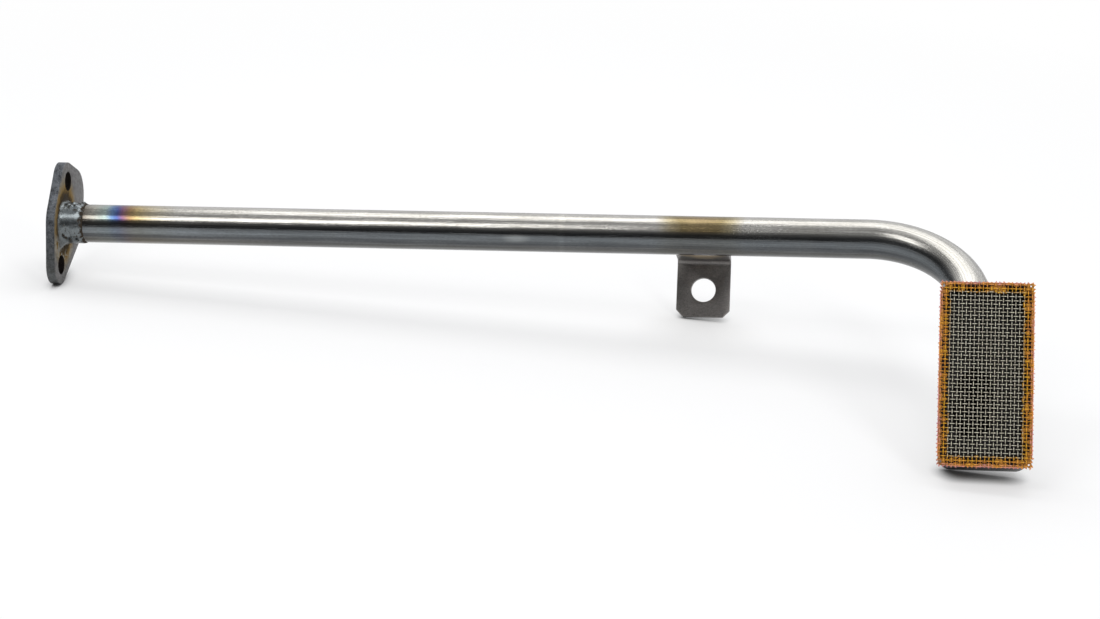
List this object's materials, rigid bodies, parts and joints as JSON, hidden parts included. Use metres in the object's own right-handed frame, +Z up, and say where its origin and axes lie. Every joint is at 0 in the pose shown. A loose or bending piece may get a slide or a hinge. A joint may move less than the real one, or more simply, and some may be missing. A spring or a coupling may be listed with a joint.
{
  "type": "oil pickup tube",
  "caption": "Steel oil pickup tube: bolt-on flange, long straight run, bend, and a small box closed by a brazed wire screen, with a folded bracket behind the run.",
  "frame": {"origin": "centre of the tube's open end, on the flange's mating face", "axes": "+X along the tube's straight run from the flange to the bend (the run rises 4.3 degrees), +Y away from the screen, +Z up from the floor that the part lies on"},
  "size_m": [0.4854, 0.183, 0.0827],
  "materials": {
    "flange_steel": "satin cut plate, mottled edge",
    "tube_steel": "bright satin drawn tube with heat tint by the welds",
    "weld_metal": "rippled weld bead",
    "bracket_steel": "dull hot-rolled sheet",
    "box_steel": "dull sheet",
    "screen_wire": "plain woven wire",
    "braze_metal": "run brazing brass over the wires"
  },
  "bodies": {
    "root": {"flange": "flange_steel", "tube": "tube_steel", "flange_weld": "weld_metal", "bracket": "bracket_steel", "bracket_weld_front": "weld_metal", "bracket_weld_rear": "weld_metal", "screen_box": "box_steel", "box_weld": "weld_metal", "screen": "screen_wire", "braze": "braze_metal"}
  },
  "joints": []
}
